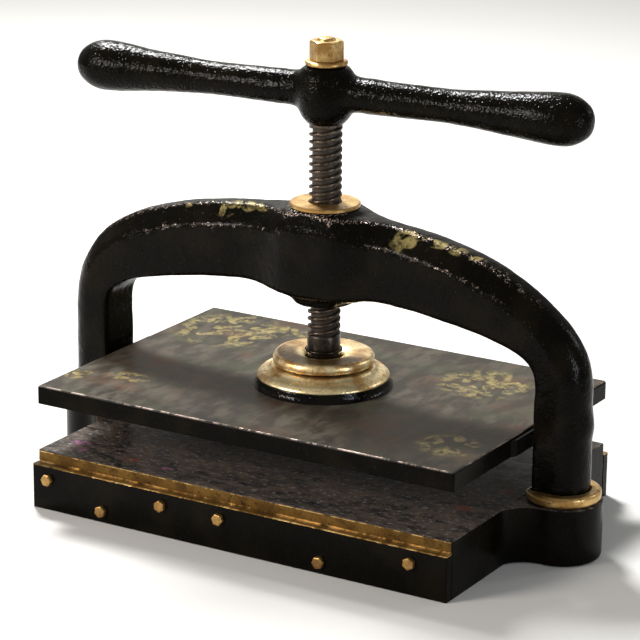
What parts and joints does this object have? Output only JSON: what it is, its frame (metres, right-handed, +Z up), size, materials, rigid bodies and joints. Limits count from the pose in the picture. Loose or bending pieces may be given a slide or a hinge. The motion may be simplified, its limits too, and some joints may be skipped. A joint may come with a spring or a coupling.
{
  "type": "cast-iron screw press for copying letters and pressing books",
  "caption": "Bench screw press: cast arch over a hollow bed, a two-arm handle turns a two-start screw that lowers a flat platen on to the bed.",
  "frame": {"origin": "on the floor, on the axis of the screw, at the middle of the bed", "axes": "+X along the long side of the bed and the arch, +Y from front to back, +Z up along the screw"},
  "size_m": [0.5224, 0.2974, 0.404],
  "materials": {
    "japanned_iron": "glossy black japan over rough casting, worn gilt sprays",
    "gilt": "brushed gold paint, chipped and darkened",
    "dark_steel": "oiled, browned steel",
    "bronze": "aged bronze"
  },
  "bodies": {
    "press_frame": {"bed_casting": "japanned_iron", "front_strap": "japanned_iron", "rear_strap": "japanned_iron", "front_strap_bolts": "gilt", "rear_strap_bolts": "gilt", "arch_frame": "japanned_iron", "left_foot_collar": "gilt", "right_foot_collar": "gilt", "left_leg_stud": "dark_steel", "right_leg_stud": "dark_steel", "left_leg_washer": "dark_steel", "right_leg_washer": "dark_steel", "left_leg_nut": "dark_steel", "right_leg_nut": "dark_steel", "screw_bush": "bronze", "bush_set_screw": "dark_steel"},
    "platen_assembly": {"platen": "japanned_iron", "thrust_pad": "bronze", "retainer_flange": "gilt", "retainer_cap": "gilt", "retainer_screws": "dark_steel"},
    "screw_assembly": {"press_screw": "dark_steel", "handle": "japanned_iron", "handle_washer": "gilt", "handle_nut": "gilt"}
  },
  "joints": [
    {"name": "platen_lift", "type": "slide", "parent": "press_frame", "child": "platen_assembly", "axis": [0, 0, 1], "range_m": [-0.0406, 0.036]},
    {"name": "screw_turn", "type": "hinge", "parent": "platen_assembly", "child": "screw_assembly", "pos_m": [0, 0, 0.25], "axis": [0, 0, 1], "range_deg": [-1150, 1020]}
  ],
  "couplings": [
    {"joint": "platen_lift", "follows": "screw_turn", "m_per_rad": 0.0020213}
  ]
}
